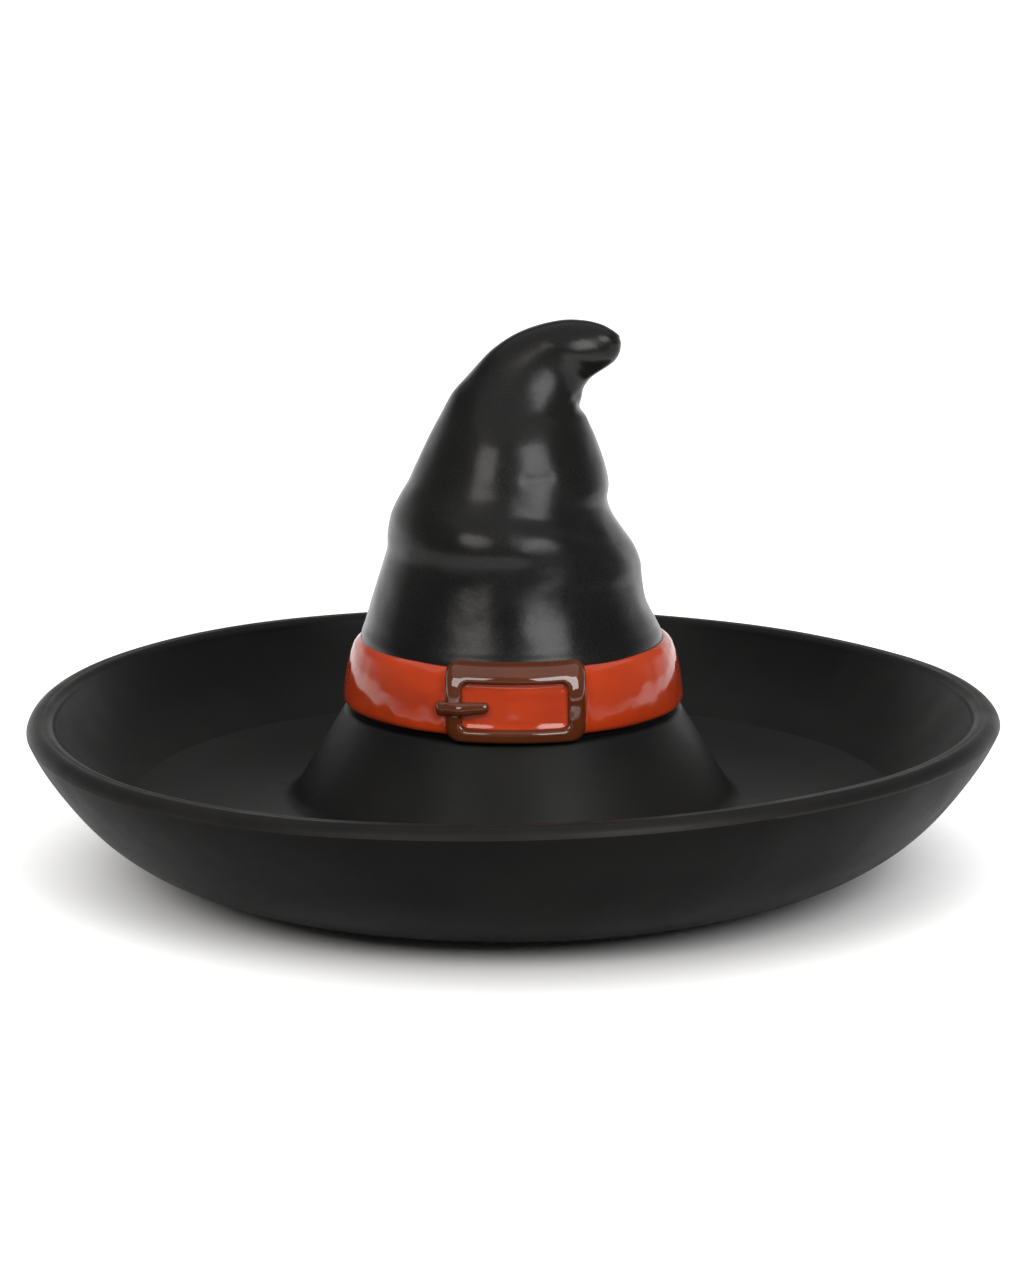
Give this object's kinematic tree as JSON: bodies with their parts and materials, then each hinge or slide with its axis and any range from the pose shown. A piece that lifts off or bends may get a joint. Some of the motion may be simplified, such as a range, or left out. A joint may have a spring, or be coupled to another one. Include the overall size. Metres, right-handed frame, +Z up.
{
  "type": "witch hat chip and dip bowl",
  "caption": "Ceramic witch hat serving bowl: wide upturned brim for chips, dip well in the central cone, hollow lift-off crown lid with raised band and buckle.",
  "frame": {"origin": "on the table, at the middle of the foot ring, on the tray's axis", "axes": "+Z up along the tray's axis, -Y towards the front with the buckle, +X the way the tip bends"},
  "size_m": [0.32, 0.32, 0.1825],
  "materials": {
    "satin_black_glaze": "satin matte black glaze",
    "bare_clay": "unglazed, wiped and ground",
    "orange_glaze": "glossy, pooled",
    "brown_glaze": "glossy, pooled"
  },
  "bodies": {
    "tray": {"chip_floor": "satin_black_glaze", "brim_inner": "satin_black_glaze", "brim_outer": "satin_black_glaze", "base": "satin_black_glaze", "foot_ring": "bare_clay", "hub": "satin_black_glaze", "dip_well": "satin_black_glaze"},
    "lid": {"crown": "satin_black_glaze", "lid_collar": "satin_black_glaze", "hat_band": "orange_glaze", "buckle_frame": "brown_glaze", "buckle_prong": "brown_glaze"}
  },
  "joints": [
    {"name": "lid_lift", "type": "slide", "parent": "tray", "child": "lid", "axis": [0, 0, 1], "range_m": [0, 0.12]}
  ]
}
